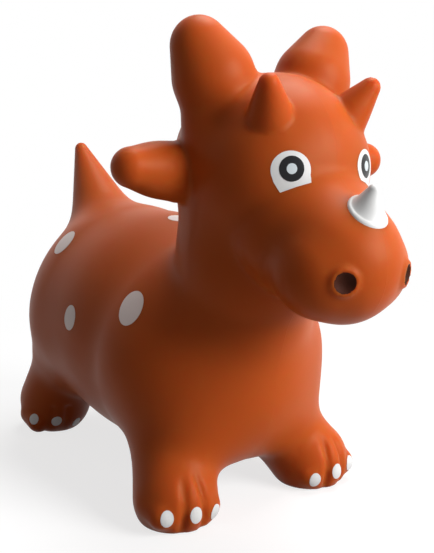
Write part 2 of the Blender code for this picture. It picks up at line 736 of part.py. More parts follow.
def ellipse(half_breadth, half_height, steps=PAINT_STEPS):
    turns = (math.tau * step / steps for step in range(steps))
    return [(half_breadth * math.cos(turn), half_height * math.sin(turn)) for turn in turns]


def eye_outline(side):
    """Outline of the white patch; its pointed corner lies away from the nose."""
    points = []
    for step in range(EYE_ARC_STEPS + 1):
        turn = EYE_ARC_START + (EYE_ARC_END - EYE_ARC_START) * step / EYE_ARC_STEPS
        across = EYE_ARC_CENTRE_SHARES[0] + EYE_ARC_BREADTH_SHARE * math.cos(turn)
        up = EYE_ARC_CENTRE_SHARES[1] + EYE_ARC_HEIGHT_SHARE * math.sin(turn)
        points.append((across, up))
    points.extend(EYE_CORNER_SHARES)
    return [(-side * across * EYE_WHITE_RADIUS, up * EYE_WHITE_RADIUS) for across, up in points]


def paint_prisms(collection):
    """Outlines of every painted area in three sets, because the eye's areas share a middle."""
    upward = facing(UPWARD_SHARES)
    ground, irises, highlights = {}, {}, {}
    for label, side in SIDES.items():
        eye = body_place(EYE_SHARES, side)
        look = facing(EYE_FACING_SHARES, side)
        room = IRIS_RADIUS + PAINT_GAP
        glint_room = HIGHLIGHT_RADIUS + PAINT_GAP
        white = [eye_outline(side), ellipse(room, room)]
        ring = [ellipse(IRIS_RADIUS, IRIS_RADIUS), ellipse(glint_room, glint_room)]
        glint = [ellipse(HIGHLIGHT_RADIUS, HIGHLIGHT_RADIUS)]
        for chosen, name, outlines in (
            (ground, f"eye_white_{label}", white),
            (irises, f"eye_iris_{label}", ring),
            (highlights, f"eye_highlight_{label}", glint),
        ):
            chosen[name] = outline_prism(name, outlines, eye, look, upward, EYE_REACH, collection)
        name = f"nostril_paint_{label}"
        outline = [ellipse(NOSTRIL_PAINT_RADIUS, NOSTRIL_PAINT_RADIUS)]
        place = body_place(NOSTRIL_SHARES, side)
        direction = facing(NOSTRIL_FACING_SHARES, side)
        ground[name] = outline_prism(name, outline, place, direction, upward, PAINT_REACH, collection)
        for toe, (shares, direction) in NAIL_SHARES.items():
            name = f"nail_{toe}_{label}"
            outline = [ellipse(NAIL_HALF_BREADTH, NAIL_HALF_HEIGHT)]
            place = body_place(shares, side)
            ground[name] = outline_prism(
                name, outline, place, facing(direction, side), upward, PAINT_REACH, collection
            )
        sizes = {
            "shoulder": (SHOULDER_SPOT_HALF_BREADTH, SHOULDER_SPOT_HALF_HEIGHT),
            "flank": (FLANK_SPOT_HALF_BREADTH, FLANK_SPOT_HALF_HEIGHT),
            "rump": (RUMP_SPOT_HALF_BREADTH, RUMP_SPOT_HALF_HEIGHT),
        }
        for spot, (shares, direction, rise) in SPOT_SHARES.items():
            name = f"spot_{spot}_{label}"
            place = body_place(shares, side)
            ground[name] = outline_prism(
                name, [ellipse(*sizes[spot])], place, facing(direction, side), facing(rise, side),
                PAINT_REACH, collection
            )
    shares, direction, rise = BACK_SPOT_SHARES
    outline = [ellipse(BACK_SPOT_HALF_BREADTH, BACK_SPOT_HALF_HEIGHT)]
    ground["spot_back"] = outline_prism(
        "spot_back", outline, body_place(shares), facing(direction), facing(rise), PAINT_REACH, collection
    )
    return ground, irises, highlights


def paint_look(name):
    if name.startswith("eye_iris"):
        return "dark paint", DARK_PAINT
    if name.startswith("nostril"):
        return "nostril paint", NOSTRIL_PAINT
    return "white paint", WHITE_PAINT


def build_paint(outer, parts, guides):
    """Cut every painted area out of a thin layer that lies over the skin."""
    layer = mesh_object("paint_layer", outer.copy(), guides)
    lift = layer.modifiers.new("lift", "DISPLACE")
    lift.strength = PAINT_GAP
    lift.mid_level = 0.0
    thicken = layer.modifiers.new("thicken", "SOLIDIFY")
    thicken.thickness = PAINT_THICKNESS
    thicken.offset = 1.0
    film = baked(layer)
    remove(layer)
    for prisms in paint_prisms(guides):
        places = {name: mesh_middle(thing.data) for name, thing in prisms.items()}
        cutter = joined_object("paint_cutter", list(prisms.values()), guides)
        areas = boolean(film.copy(), cutter, "INTERSECT", "paint_areas", guides)
        remove(cutter)
        for mesh in loose_pieces(areas):
            name = nearest_name(mesh, places)
            del places[name]
            publish(name, mesh, *paint_look(name), parts)


def turned(name, profile, collection):
    """Turn a profile of radius and height, top to bottom down its outer side, about the Z axis."""
    mesh = bpy.data.meshes.new(name)
    edges = [(index, index + 1) for index in range(len(profile) - 1)]
    mesh.from_pydata([(radius, 0.0, height) for radius, height in profile], edges, [])
    thing = mesh_object(name, mesh, collection)
    screw = thing.modifiers.new("turn", "SCREW")
    screw.steps = TURN_STEPS
    screw.render_steps = TURN_STEPS
    screw.use_merge_vertices = True
    screw.merge_threshold = MERGE_DISTANCE
    result = baked(thing)
    remove(thing)
    tidied(result)
    return result


def build_valve(valve, valve_depth, parts, guides):
    """Turn the flanged seat and its stopper; the skin lies between the lip and the inner flange."""
    bore = VALVE_BORE / 2
    neck = VALVE_NECK_DIAMETER / 2
    recess = VALVE_RECESS_DIAMETER / 2
    lip_top = -FIT_GAP
    lip_bottom = lip_top - VALVE_LIP_THICKNESS
    recess_top = lip_bottom + VALVE_RECESS_DEPTH
    flange_bottom = valve_depth + FIT_GAP
    flange_top = flange_bottom + VALVE_INNER_FLANGE_THICKNESS
    tube_top = flange_top + VALVE_TUBE_LENGTH
    seat_profile = [
        (bore, tube_top),
        (VALVE_TUBE_DIAMETER / 2, tube_top),
        (VALVE_TUBE_DIAMETER / 2, flange_top),
        (VALVE_INNER_FLANGE_DIAMETER / 2, flange_top),
        (VALVE_INNER_FLANGE_DIAMETER / 2, flange_bottom),
        (neck, flange_bottom),
        (neck, lip_top),
        (VALVE_LIP_DIAMETER / 2, lip_top),
        (VALVE_LIP_DIAMETER / 2, lip_bottom),
        (recess, lip_bottom),
        (recess, recess_top),
        (bore, recess_top),
        (bore, tube_top),
    ]
    seat = turned("valve_seat", seat_profile, guides)
    seat.transform(Matrix.Translation(valve))
    publish("valve_seat", seat, "valve rubber", VALVE_RUBBER, parts, valve)

    head_top = recess_top - FIT_GAP
    head_bottom = head_top - STOPPER_HEAD_THICKNESS
    stem_bottom_radius = STOPPER_STEM_DIAMETER / 2
    core = stem_bottom_radius - STOPPER_RIDGE_HEIGHT
    tip_bottom = head_top + STOPPER_STEM_LENGTH - STOPPER_TIP_LENGTH
    stopper_profile = [(0.0, tip_bottom + STOPPER_TIP_LENGTH)]
    stopper_profile.append((STOPPER_TIP_DIAMETER / 2, tip_bottom + STOPPER_TIP_LENGTH))
    stopper_profile.append((core, tip_bottom))
    for ridge in range(STOPPER_RIDGES):
        top = tip_bottom - STOPPER_RIDGE_PITCH * ridge
        stopper_profile.append((core, top - STOPPER_RIDGE_PITCH / 4))
        stopper_profile.append((stem_bottom_radius, top - STOPPER_RIDGE_PITCH / 2))
        stopper_profile.append((core, top - STOPPER_RIDGE_PITCH * 3 / 4))
    stopper_profile.append((core, head_top))
    stopper_profile.append((STOPPER_HEAD_DIAMETER / 2, head_top))
    stopper_profile.append((STOPPER_HEAD_DIAMETER / 2, head_bottom))
    stopper_profile.append((0.0, head_bottom))
    stopper = turned("stopper", stopper_profile, guides)
    stopper.transform(Matrix.Translation(valve))
    publish("stopper", stopper, "valve rubber", VALVE_RUBBER, parts, valve)


def heights_over_valve(mesh, along, collection):
    """Lowest and highest part of a surface over the valve's lip, seen from straight below."""
    probe = mesh_object("probe", mesh, collection)
    bpy.context.view_layer.update()
    upward = Vector((0.0, 0.0, 1.0))
    heights = []
    for radius in (VALVE_NECK_DIAMETER / 2, VALVE_LIP_DIAMETER / 2 + FIT_GAP):
        for step in range(PROBE_STEPS):
            turn = math.tau * step / PROBE_STEPS
            under = Vector((radius * math.cos(turn), along + radius * math.sin(turn), -FIELD_MARGIN))
            hit, place, _normal, _index = probe.ray_cast(under, upward)
            if hit:
                heights.append(place.z)
    remove(probe)
    return min(heights), max(heights)


def build():
    clear_scene()
    parts = new_collection("ride_on_animal")
    guides = new_collection("guides")
    outer = thinned(field_mesh("outer_field", 0.0, guides), SKIN_TRIANGLES, "outer", guides, True)
    on_ground(outer)
    hollow = field_mesh("inner_field", SKIN_WALL, guides, with_toes=False)
    inner = thinned(hollow, INNER_TRIANGLES, "inner", guides, False)
    along = VALVE_PLACE_SHARE * BODY_LENGTH
    belly_low = heights_over_valve(outer, along, guides)[0]
    belly_high = heights_over_valve(inner, along, guides)[1]
    valve = Vector((0.0, along, belly_low))
    valve_depth = belly_high - belly_low
    build_skin(outer, inner, valve, valve_depth, parts, guides)
    build_paint(outer, parts, guides)
    build_valve(valve, valve_depth, parts, guides)
    bpy.data.collections.remove(guides)
    for thing in parts.objects:
        triangles = sum(len(face.vertices) - 2 for face in thing.data.polygons)
        print(f"{thing.name}: {triangles} triangles")


build()
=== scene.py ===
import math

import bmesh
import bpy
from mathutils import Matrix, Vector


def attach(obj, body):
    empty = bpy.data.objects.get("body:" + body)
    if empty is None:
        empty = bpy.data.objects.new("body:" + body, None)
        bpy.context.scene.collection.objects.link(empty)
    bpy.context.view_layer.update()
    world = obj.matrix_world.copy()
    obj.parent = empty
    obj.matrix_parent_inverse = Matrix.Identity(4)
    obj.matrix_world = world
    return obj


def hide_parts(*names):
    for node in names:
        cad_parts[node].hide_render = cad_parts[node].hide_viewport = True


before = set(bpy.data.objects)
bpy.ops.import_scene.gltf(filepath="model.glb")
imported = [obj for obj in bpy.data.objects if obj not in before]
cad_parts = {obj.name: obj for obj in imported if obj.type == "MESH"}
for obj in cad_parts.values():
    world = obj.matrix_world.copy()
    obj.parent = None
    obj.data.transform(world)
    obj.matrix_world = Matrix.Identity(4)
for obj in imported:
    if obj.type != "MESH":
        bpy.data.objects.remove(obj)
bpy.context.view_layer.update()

# %% [markdown]
# This lesson dresses a ride-on hopper animal: one air-filled skin of soft orange vinyl, with white
# nails, spots and nose horn painted on, round eyes, and a stopper in the belly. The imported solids
# of the real sizes are already loaded, in metres, with the animal's nose towards -Y and its left
# side towards +X. All that follows is made in that same frame, so a piece goes where the solids
# say.

# %% [markdown]
# Node trees get long when each node takes four lines. One small function adds a node, sets what is
# asked for and links what is given, and every shape tree and every finish below is written with
# it. A node or a socket as a value becomes a link, anything else becomes the socket's own number.
# Blender switches off the sockets that a node's settings don't need, so a name always means the
# one that is in use.

# %% Function that adds a node
MATH = "ShaderNodeMath"
VECTOR_MATH = "ShaderNodeVectorMath"


def in_use(sockets, name=None):
    """The first socket that is in use, or the first of them with this name."""
    return next(s for s in sockets if s.enabled and name in (None, s.name))


def add(tree, kind, inputs=(), **settings):
    """Add a node; its inputs go by order in a tuple, or by name in a dictionary."""
    made = tree.nodes.new(kind)
    for name, value in settings.items():
        setattr(made, name, value)
    for key, value in inputs.items() if isinstance(inputs, dict) else enumerate(inputs):
        socket = made.inputs[key] if isinstance(key, int) else in_use(made.inputs, key)
        if isinstance(value, bpy.types.Node):
            value = in_use(value.outputs)
        if isinstance(value, bpy.types.NodeSocket):
            tree.links.new(value, socket)
        else:
            socket.default_value = value
    return made


print("a node can be added")

# %% [markdown]
# A geometry tree that is used more than once needs inputs with names. They are its only way in,
# so they are made first, from a table of names and kinds.

# %% Opening a geometry tree
def open_tree(name, inputs, output):
    """A new tree with named inputs and one output, and the sockets that bring the inputs in."""
    tree = bpy.data.node_groups.new(name, "GeometryNodeTree")
    for label, kind in inputs.items():
        tree.interface.new_socket(label, in_out="INPUT", socket_type="NodeSocket" + kind)
    label, kind = output
    tree.interface.new_socket(label, in_out="OUTPUT", socket_type="NodeSocket" + kind)
    return tree, add(tree, "NodeGroupInput").outputs


print("a tree can be opened")

# %% [markdown]
# The skin has no flat face and no clean edge: it is a set of round balloons that melt together.
# Box modelling such a form leaves flat spots, so it is written as a distance field. Each form is
# the distance to a line with a radius that changes along it, and a smooth minimum melts a form
# into those before it. One node group works out that distance, and is used for every form.
#
# On a tapered form the nearest point of the line isn't straight across, but a little further
# towards the thick end. Lean is that shift for each metre off the line.

# %% Node group: distance to one round form
def round_form_group():
    tree, given = open_tree("round form", {
        "Place": "Vector", "Start": "Vector", "Axis": "Vector", "Length": "Float",
        "Lean": "Float", "Start Radius": "Float", "Radius Change": "Float",
        "Swell": "Float", "Thinning": "Float",
    }, ("Distance", "Float"))
    reach = add(tree, VECTOR_MATH, (given["Place"], given["Start"]), operation="SUBTRACT")
    along = add(tree, VECTOR_MATH, (reach, given["Axis"]), operation="DOT_PRODUCT")
    shadow = add(tree, VECTOR_MATH, {0: given["Axis"], "Scale": along}, operation="SCALE")
    across = add(tree, VECTOR_MATH, (reach, shadow), operation="SUBTRACT")
    split = add(tree, "ShaderNodeSeparateXYZ", (across,)).outputs
    stretch = add(tree, MATH, (given["Thinning"], 1.0), operation="ADD")
    deeper = add(tree, MATH, (split[1], stretch), operation="MULTIPLY")
    across = add(tree, "ShaderNodeCombineXYZ", (split[0], deeper, split[2]))
    off_axis = add(tree, VECTOR_MATH, (across,), operation="LENGTH")
    nearest = add(tree, MATH, (off_axis, given["Lean"], along), operation="MULTIPLY_ADD")
    nearest = add(tree, MATH, (nearest, 0.0), operation="MAXIMUM")
    nearest = add(tree, MATH, (nearest, given["Length"]), operation="MINIMUM")
    portion = add(tree, MATH, (nearest, given["Length"]), operation="DIVIDE")
    radius = add(tree, MATH, (portion, given["Radius Change"], given["Start Radius"]),
                 operation="MULTIPLY_ADD")
    # The hump is 0 at both ends and 1 in the middle: (4 x portion x (1 - portion)) squared
    remainder = add(tree, MATH, (1.0, portion), operation="SUBTRACT")
    hump = add(tree, MATH, (portion, remainder), operation="MULTIPLY")
    hump = add(tree, MATH, (hump, hump), operation="MULTIPLY")
    hump = add(tree, MATH, (hump, 16.0), operation="MULTIPLY")
    radius = add(tree, MATH, (hump, given["Swell"], radius), operation="MULTIPLY_ADD")
    past = add(tree, MATH, (along, nearest), operation="SUBTRACT")
    flat = add(tree, "ShaderNodeCombineXYZ", (past, off_axis, 0.0))
    distance = add(tree, VECTOR_MATH, (flat,), operation="LENGTH")
    distance = add(tree, MATH, (distance, radius), operation="SUBTRACT")
    add(tree, "NodeGroupOutput", (distance,))
    return tree


ROUND_FORM = round_form_group()
print("round form group:", len(ROUND_FORM.nodes), "nodes")

# %% [markdown]
# The tables list the balloons in the order in which they melt together, with the left side only:
# the field reads the absolute value of X, which mirrors it. A row holds the name, the start and
# the end of the line, the radius at each, the swell between them, the thinning from front to back
# and the blend. The larger the blend, the wider the zone in which the form melts into the others.
#
# The jowl fills the throat below the cheeks, and its small blend leaves a fold where it meets the
# muzzle. The nose horn is slim and its blend is wide, which gives it hollow sides and a flared
# foot.

# %% Forms of the animal
TORSO = (
    ("trunk", (0, -0.0094, 0.1515), (0, 0.1437, 0.177),
     0.1285, 0.1255, 0.007, 0.0, 0.030),
    ("chest", (0, -0.0389, 0.150), (0, -0.0412, 0.132),
     0.1035, 0.0995, 0.0, 0.0, 0.050),
    ("shoulder", (0.0585, -0.0459, 0.150), (0.0588, -0.0707, 0.082),
     0.0605, 0.0475, 0.0, 0.0, 0.050),
    ("haunch", (0.0513, 0.1461, 0.156), (0.0618, 0.1738, 0.1215),
     0.0765, 0.056, 0.0, 0.0, 0.050),
)
NOSE_HORN_FOOT = (0, -0.2586, 0.305)
NOSE_HORN_TIP = (0, -0.2762, 0.345)
LIMBS_AND_HEAD = (
    ("neck", (0, -0.0937, 0.220), (0, -0.1331, 0.3055),
     0.0717, 0.0681, 0.0, 0.0, 0.040),
    ("cheeks", (0, -0.1249, 0.3505), (0, -0.1025, 0.2745),
     0.0864, 0.0715, 0.0, 0.0, 0.030),
    ("jowl", (0, -0.1060, 0.2780), (0, -0.1120, 0.2640),
     0.0768, 0.0762, 0.0, 0.0, 0.010),
    ("cranium", (0, -0.1149, 0.3695), (0, -0.1419, 0.366),
     0.0799, 0.0833, 0.0, 0.0, 0.030),
    ("face", (0, -0.1573, 0.3655), (0.0169, -0.1579, 0.3575),
     0.0702, 0.0683, 0.0, 0.0, 0.020),
    ("muzzle", (0, -0.1826, 0.308), (0, -0.2415, 0.274),
     0.0701, 0.0484, 0.0018, 0.0, 0.010),
    ("nose", (0, -0.2368, 0.281), (0.0224, -0.2380, 0.2735),
     0.0570, 0.0451, 0.0, 0.0, 0.018),
    ("tail", (0, 0.2126, 0.2615), (0, 0.2851, 0.369),
     0.0475, 0.0085, 0.0, 0.0, 0.050),
    ("front leg", (0.0722, -0.0583, 0.0625), (0.0904, -0.0978, 0.024),
     0.040, 0.044, 0.0, 0.0, 0.030),
    ("rear leg", (0.0718, 0.1961, 0.099), (0.0770, 0.2250, 0.0395),
     0.041, 0.0465, 0.0, 0.0, 0.030),
    ("lobe", (0.0608, -0.1249, 0.444), (0.0754, -0.1231, 0.4715),
     0.0409, 0.0285, 0.0, 0.12, 0.016),
    ("temple", (0.0520, -0.1278, 0.375), (0.0549, -0.1278, 0.4025),
     0.0380, 0.0381, 0.0, 0.12, 0.020),
    ("ear", (0.0845, -0.1001, 0.356), (0.1456, -0.1160, 0.3625),
     0.030, 0.019, 0.002, 0.0, 0.006),
    ("brow horn", (0.0390, -0.1826, 0.394), (0.0608, -0.2079, 0.435),
     0.0265, 0.0096, 0.0004, 0.0, 0.0035),
    ("nose horn", NOSE_HORN_FOOT, NOSE_HORN_TIP,
     0.0232, 0.0054, 0.0009, 0.0, 0.012),
)
print(len(TORSO), "forms in the torso,", len(LIMBS_AND_HEAD), "in the limbs and the head")

# %% [markdown]
# Each foot ends in three low toes, with a soft groove between neighbours. A toe is one more round
# form, and a groove is a thin one that is cut away instead of added. A front groove runs up over
# the instep, so it takes two lines with a bend between them.

# %% Toes and the grooves between them
TOE_ENDS = (
    (0.1195, -0.1190, 0.0200), (0.0939, -0.1278, 0.0185), (0.0696, -0.1225, 0.0185),
    (0.1105, 0.2055, 0.0200), (0.0939, 0.2044, 0.0185), (0.0696, 0.2079, 0.0185),
)
TOE_ROOT = Vector((0.0, 0.020, 0.005))
TOE_ROOT_RADIUS = 0.0155
TOE_END_RADIUS = 0.0148
TOE_BLEND = 0.006
TOE_GROOVES = (
    ((0.1062, -0.1345, 0.002), (0.1050, -0.1404, 0.031)),
    ((0.1050, -0.1404, 0.031), (0.1015, -0.1300, 0.0560)),
    ((0.0818, -0.1360, 0.002), (0.0825, -0.1419, 0.031)),
    ((0.0825, -0.1419, 0.031), (0.0848, -0.1300, 0.0565)),
    ((0.1030, 0.1890, 0.002), (0.1010, 0.1815, 0.040)),
    ((0.0818, 0.1880, 0.002), (0.0822, 0.1752, 0.040)),
)
GROOVE_RADIUS = 0.0032
GROOVE_BLEND = 0.007
print(len(TOE_ENDS), "toes and", len(TOE_GROOVES), "lines of grooves on each side")

# %% [markdown]
# A nostril is a shallow round hollow with a raised rim. A ball just under the skin swells it, and
# a second ball in front of the skin is cut away from the swelling. The ring that is left round the
# hollow is the rim. The belly is cut flat above the ground, and the ground itself cuts the soles.

# %% Nostrils, belly and soles
NOSTRIL = Vector((0.0367, -0.2821, 0.2700))
NOSTRIL_FACING = Vector((0.49, -0.86, -0.11)).normalized()
RIM_BALL = NOSTRIL - NOSTRIL_FACING * 0.0086
RIM_RADIUS = 0.0159
RIM_BLEND = 0.004
HOLLOW_BALL = NOSTRIL + NOSTRIL_FACING * 0.0095
HOLLOW_RADIUS = 0.0120
HOLLOW_BLEND = 0.003
BELLY_HEIGHT = 0.034
BELLY_BLEND = 0.020
SOLE_BLEND = 0.006
print("nostril faces", tuple(round(v, 2) for v in NOSTRIL_FACING))

# %% [markdown]
# A form is one node of the group above, with numbers worked out from its row. A smooth minimum of
# two distances adds a form to the field. A smooth maximum with the form's distance turned round
# takes it away.

# %% Placing a form, melting it in and carving it out
SHORTEST_LINE = 0.0003
TAPER_FLOOR = 0.01  # keeps the root real where a form tapers very steeply


def place_form(tree, place, start, end, start_radius, end_radius, swell=0.0, thinning=0.0):
    axis = Vector(end) - Vector(start)
    length = max(axis.length, SHORTEST_LINE)
    slope = (end_radius - start_radius) / length
    return add(tree, "GeometryNodeGroup", {
        "Place": place, "Start": start, "Axis": axis / length, "Length": length,
        "Lean": slope / math.sqrt(max(1.0 - slope * slope, TAPER_FLOOR)),
        "Start Radius": start_radius, "Radius Change": end_radius - start_radius,
        "Swell": swell, "Thinning": thinning,
    }, node_tree=ROUND_FORM)


def melt_in(tree, distance, place, form, blend):
    part = place_form(tree, place, *form)
    if distance is None:
        return part
    return add(tree, MATH, (distance, part, blend), operation="SMOOTH_MIN")


def carve_out(tree, distance, place, form, blend):
    part = add(tree, MATH, (place_form(tree, place, *form), -1.0), operation="MULTIPLY")
    return add(tree, MATH, (distance, part, blend), operation="SMOOTH_MAX")


print("a form can be placed, melted in and carved out")

# %% [markdown]
# One function writes the whole field, because two shapes need it: the skin itself, and the coat of
# white paint on the nose horn. The order matters. The belly is cut while only the torso is there,
# so that the cut leaves the legs alone. The nostrils come after the nose, and the soles come last,
# flat on the ground.

# %% The whole animal as one field
def animal_field(tree):
    place = add(tree, "GeometryNodeInputPosition")
    split = add(tree, "ShaderNodeSeparateXYZ", (place,)).outputs
    half = add(tree, MATH, (split[0],), operation="ABSOLUTE")
    folded = add(tree, "ShaderNodeCombineXYZ", (half, split[1], split[2]))
    distance = None
    for _name, *form, blend in TORSO:
        distance = melt_in(tree, distance, folded, form, blend)
    below_belly = add(tree, MATH, (BELLY_HEIGHT, split[2]), operation="SUBTRACT")
    distance = add(tree, MATH, (distance, below_belly, BELLY_BLEND), operation="SMOOTH_MAX")
    for _name, *form, blend in LIMBS_AND_HEAD:
        distance = melt_in(tree, distance, folded, form, blend)
    for end in TOE_ENDS:
        form = (Vector(end) + TOE_ROOT, end, TOE_ROOT_RADIUS, TOE_END_RADIUS)
        distance = melt_in(tree, distance, folded, form, TOE_BLEND)
    for low, high in TOE_GROOVES:
        form = (low, high, GROOVE_RADIUS, GROOVE_RADIUS)
        distance = carve_out(tree, distance, folded, form, GROOVE_BLEND)
    form = (RIM_BALL, RIM_BALL, RIM_RADIUS, RIM_RADIUS)
    distance = melt_in(tree, distance, folded, form, RIM_BLEND)
    form = (HOLLOW_BALL, HOLLOW_BALL, HOLLOW_RADIUS, HOLLOW_RADIUS)
    distance = carve_out(tree, distance, folded, form, HOLLOW_BLEND)
    below_ground = add(tree, MATH, (split[2], -1.0), operation="MULTIPLY")
    return add(tree, MATH, (distance, below_ground, SOLE_BLEND), operation="SMOOTH_MAX")


print("the field can be written")

# %% [markdown]
# The tree fills a box with the field, draws the surface where the field is zero, and then moves
# each point along its normal by the field's own value there, twice. Without that last step the
# grid shows as a faint staircase; with it a 3 mm grid gives a surface that is smooth to the eye.

# %% Tree that turns a field into a surface
FAR_OUTSIDE = -0.016
SETTLING_MOVES = 2


def surface_tree(name, field, low, high):
    """A tree with the inputs Grid Step and Finish; field is a function that writes a distance."""
    tree, given = open_tree(name, {"Grid Step": "Float", "Finish": "Material"},
                            ("Geometry", "Geometry"))
    density = add(tree, MATH, (field(tree), -1.0), operation="MULTIPLY")
    box = {"Density": density, "Background": FAR_OUTSIDE, "Min": low, "Max": high}
    for axis, letter in enumerate("XYZ"):
        side = high[axis] - low[axis]
        steps = add(tree, MATH, (side, given["Grid Step"]), operation="DIVIDE")
        box["Resolution " + letter] = add(tree, MATH, (steps,), operation="CEIL")
    cube = add(tree, "GeometryNodeVolumeCube", box)
    skin = add(tree, "GeometryNodeVolumeToMesh", {"Volume": cube, "Threshold": 0.0},
               resolution_mode="GRID")
    for _move in range(SETTLING_MOVES):
        normal = add(tree, "GeometryNodeInputNormal")
        back = add(tree, VECTOR_MATH, {0: normal, "Scale": density}, operation="SCALE")
        skin = add(tree, "GeometryNodeSetPosition", {"Geometry": skin, "Offset": back})
    skin = add(tree, "GeometryNodeSetShadeSmooth", {"Geometry": skin})
    skin = add(tree, "GeometryNodeRealizeInstances", {"Geometry": skin})
    skin = add(tree, "GeometryNodeSetMaterial", {"Geometry": skin, "Material": given["Finish"]})
    add(tree, "NodeGroupOutput", (skin,))
    return tree


print("a surface tree can be made")

# %% [markdown]
# A tree only runs while a modifier holds it. The finished animal should be plain meshes, so each
# tree runs once on a new object, its result is kept as the object's mesh, and the modifier goes.
# A modifier's inputs are set by the identifiers of their sockets.

# %% Running a tree
def grown(name, tree, values, mesh=None):
    """Run a tree on a new object and keep the result as a plain mesh."""
    piece = bpy.data.objects.new(name, mesh or bpy.data.meshes.new(name))
    bpy.context.scene.collection.objects.link(piece)
    modifier = piece.modifiers.new(tree.name, "NODES")
    modifier.node_group = tree
    for item in tree.interface.items_tree:
        if item.in_out == "INPUT" and item.name in values:
            modifier[item.identifier] = values[item.name]
    graph = bpy.context.evaluated_depsgraph_get()
    result = bpy.data.meshes.new_from_object(piece.evaluated_get(graph))
    piece.modifiers.clear()
    piece.data = result
    result.name = name
    print(name, "has", len(result.polygons), "faces")
    return piece


print("a tree can be run")

# %% [markdown]
# Colours are written as they are picked from a screen, as hex values. Shaders count in linear
# light, so one function turns the one into the other.

# %% Colours
def linear(code):
    parts = [int(code[i:i + 2], 16) / 255.0 for i in (1, 3, 5)]
    light = [p / 12.92 if p <= 0.04045 else ((p + 0.055) / 1.055) ** 2.4 for p in parts]
    return (*light, 1.0)


def new_finish(name, base, roughness, ior):
    """A principled finish; returns it with its tree and shader for the detail that follows."""
    finish = bpy.data.materials.new(name)
    finish.use_nodes = True
    tree = finish.node_tree
    shader = tree.nodes["Principled BSDF"]
    shader.inputs["Base Color"].default_value = linear(base)
    shader.inputs["Roughness"].default_value = roughness
    shader.inputs["IOR"].default_value = ior
    finish.diffuse_color = linear(base)
    return finish, tree, shader


ORANGE = "#B6501B"
print("orange in linear light:", [round(v, 3) for v in linear(ORANGE)[:3]])

# %% [markdown]
# The skin is plasticised PVC, coloured through and moulded in a hot turning mould. Its surface is
# satin: a broad soft highlight, a very fine orange peel about 1.5 mm across, and slow hollows a
# few centimetres wide where the air presses it out unevenly. The two mould halves meet in the
# mirror plane, and leave a hair-thin raised line there. A noise's scale is its cells in a metre,
# and each bump stands on the normal that the one before it gives.

# %% Relief of the skin
HOLLOWS_IN_A_METRE = 22.0
PEEL_CELLS_IN_A_METRE = 650.0
MOULD_LINE_HALF_WIDTH = 0.0006


def skin_relief(tree, place):
    hollows = add(tree, "ShaderNodeTexNoise",
                  {"Vector": place, "Scale": HOLLOWS_IN_A_METRE, "Detail": 1.0})
    peel = add(tree, "ShaderNodeTexNoise",
               {"Vector": place, "Scale": PEEL_CELLS_IN_A_METRE, "Detail": 2.0})
    split = add(tree, "ShaderNodeSeparateXYZ", (place,)).outputs
    off_plane = add(tree, MATH, (split[0],), operation="ABSOLUTE")
    off_plane = add(tree, MATH, (off_plane, MOULD_LINE_HALF_WIDTH), operation="DIVIDE")
    line = add(tree, MATH, (1.0, off_plane), operation="SUBTRACT")
    line = add(tree, MATH, (line, 0.0), operation="MAXIMUM")
    soft = add(tree, "ShaderNodeBump", {"Height": hollows, "Strength": 0.10, "Distance": 0.006})
    fine = add(tree, "ShaderNodeBump",
               {"Height": peel, "Strength": 0.10, "Distance": 0.0002, "Normal": soft})
    return add(tree, "ShaderNodeBump",
               {"Height": line, "Strength": 0.35, "Distance": 0.0003, "Normal": fine})


print("the skin's relief can be written")

# %% [markdown]
# The colour drifts a little over the body, as a slow cloud between two close oranges. The gloss is
# weak and warm, so the specular level and tint stand below those of bare plastic. Light goes into
# the soft vinyl and comes out a few centimetres further on, red light furthest, so the shaded side
# turns redder and the shade has no hard edge. That is subsurface scattering.

# %% Finish of the skin: satin moulded vinyl
def vinyl_finish():
    finish, tree, shader = new_finish("satin moulded vinyl", ORANGE, roughness=0.44, ior=1.53)
    shader.inputs["Specular IOR Level"].default_value = 0.10
    shader.inputs["Specular Tint"].default_value = linear("#FFF6D3")
    shader.inputs["Subsurface Weight"].default_value = 0.6
    shader.inputs["Subsurface Radius"].default_value = (1.0, 0.22, 0.08)
    shader.inputs["Subsurface Scale"].default_value = 0.03
    place = add(tree, "ShaderNodeTexCoord").outputs["Object"]
    cloud = add(tree, "ShaderNodeTexNoise", {"Vector": place, "Scale": 9.0, "Detail": 3.0})
    tint = add(tree, "ShaderNodeMix",
               {"Factor": cloud, "A": linear("#B14B17"), "B": linear("#BB551F")},
               data_type="RGBA")
    tree.links.new(in_use(tint.outputs), shader.inputs["Base Color"])
    tree.links.new(skin_relief(tree, place).outputs[0], shader.inputs["Normal"])
    return finish


VINYL = vinyl_finish()
print("made", VINYL.name)

# %% [markdown]
# With the finish ready, the tree makes the skin. It stands for all the zones that the solids
# divide it into, because the real skin is one moulding with no joint between head and trunk.

# %% The skin
SKIN_BOX_LOW = (-0.182, -0.312, -0.010)
SKIN_BOX_HIGH = (0.182, 0.312, 0.515)
ZONES = [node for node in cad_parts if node.startswith((
    "trunk", "head", "tail", "frill_lobe", "brow_horn", "ear", "front_leg", "rear_leg"))]
skin_tree = surface_tree("animal skin", animal_field, SKIN_BOX_LOW, SKIN_BOX_HIGH)
skin = grown("vinyl_skin", skin_tree, {"Grid Step": 0.003, "Finish": VINYL})
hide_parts(*ZONES)
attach(skin, "animal")
print("the skin stands for", len(ZONES), "zones")

# %% [markdown]
# The paint is sprayed through masks after moulding. White acrylic covers the nails, the eyes'
# ground and the nose horn. The spots have a thinner coat, and their white carries a warm pink
# tint, which is painted bounce light from the orange skin round them. The irises are a glossier
# black, and the nostrils are airbrushed dark brown. Paint on vinyl is a little uneven, so its
# finish has a faint wave and a slightly broken roughness.

# %% Finishes of the paint
PAINT_STREAKS_IN_A_METRE = 420.0
ROUGHNESS_SPREAD = 0.10


